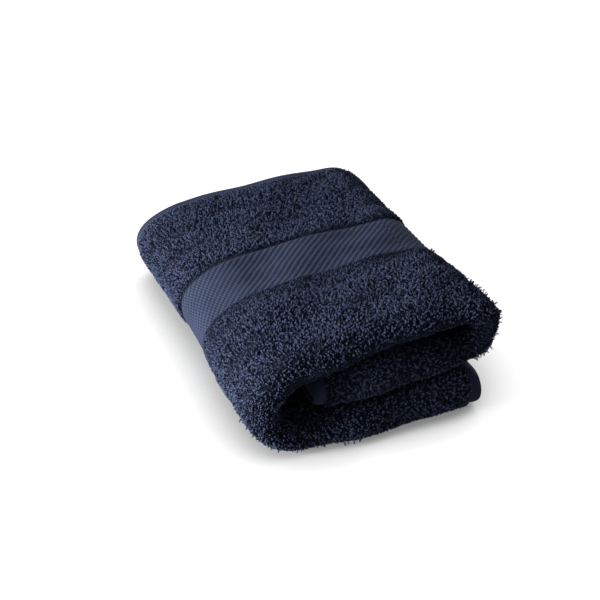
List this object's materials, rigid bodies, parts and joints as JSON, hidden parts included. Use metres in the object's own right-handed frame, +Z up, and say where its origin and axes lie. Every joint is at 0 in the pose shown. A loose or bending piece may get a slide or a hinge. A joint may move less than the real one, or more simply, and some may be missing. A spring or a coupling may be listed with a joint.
{
  "type": "folded bath towel",
  "caption": "Plush terry bath towel folded for a shelf, with a flat woven band across it, that opens like a book along its long left fold.",
  "frame": {"origin": "middle of the folded towel's underside, on the surface it stands on", "axes": "+Z up; the front fold faces -Y and the end hems are at +Y; the woven band runs along X; the long left fold is at -X"},
  "size_m": [0.238, 0.3339, 0.111],
  "materials": {
    "terry": "dark navy cotton terry, loop pile on both sides",
    "dobby_band": "dark navy flat-woven band with slanting ribs, no pile",
    "hem": "dark navy plain-woven hem, turned under and sewn",
    "thread": "dark navy sewing thread"
  },
  "bodies": {
    "lower_layer": {"lower_flap_main_terry": "terry", "lower_flap_dobby_band_a": "dobby_band", "lower_flap_end_terry_a": "terry", "lower_flap_end_hem_a": "hem", "lower_flap_dobby_band_b": "dobby_band", "lower_flap_end_terry_b": "terry", "lower_flap_end_hem_b": "hem", "left_fold_lower_main_terry": "terry", "left_fold_lower_dobby_band_a": "dobby_band", "left_fold_lower_end_terry_a": "terry", "left_fold_lower_end_hem_a": "hem", "left_fold_lower_dobby_band_b": "dobby_band", "left_fold_lower_end_terry_b": "terry", "left_fold_lower_end_hem_b": "hem", "lower_flap_side_hem": "hem", "end_hem_a_thread_lower": "thread", "end_hem_b_thread_lower": "thread"},
    "upper_layers": {"left_fold_upper_main_terry": "terry", "left_fold_upper_dobby_band_a": "dobby_band", "left_fold_upper_end_terry_a": "terry", "left_fold_upper_end_hem_a": "hem", "left_fold_upper_dobby_band_b": "dobby_band", "left_fold_upper_end_terry_b": "terry", "left_fold_upper_end_hem_b": "hem", "top_panel_main_terry": "terry", "top_panel_dobby_band_a": "dobby_band", "top_panel_end_terry_a": "terry", "top_panel_end_hem_a": "hem", "top_panel_dobby_band_b": "dobby_band", "top_panel_end_terry_b": "terry", "top_panel_end_hem_b": "hem", "right_fold_main_terry": "terry", "right_fold_dobby_band_a": "dobby_band", "right_fold_end_terry_a": "terry", "right_fold_end_hem_a": "hem", "right_fold_dobby_band_b": "dobby_band", "right_fold_end_terry_b": "terry", "right_fold_end_hem_b": "hem", "inner_flap_main_terry": "terry", "inner_flap_dobby_band_a": "dobby_band", "inner_flap_end_terry_a": "terry", "inner_flap_end_hem_a": "hem", "inner_flap_dobby_band_b": "dobby_band", "inner_flap_end_terry_b": "terry", "inner_flap_end_hem_b": "hem", "inner_flap_side_hem": "hem", "end_hem_a_thread_upper": "thread", "end_hem_b_thread_upper": "thread"}
  },
  "joints": [
    {"name": "left_fold", "type": "hinge", "parent": "lower_layer", "child": "upper_layers", "pos_m": [-0.1192, 0, 0.04703], "axis": [0, -0.9984, 0.057], "range_deg": [0, 180]}
  ]
}
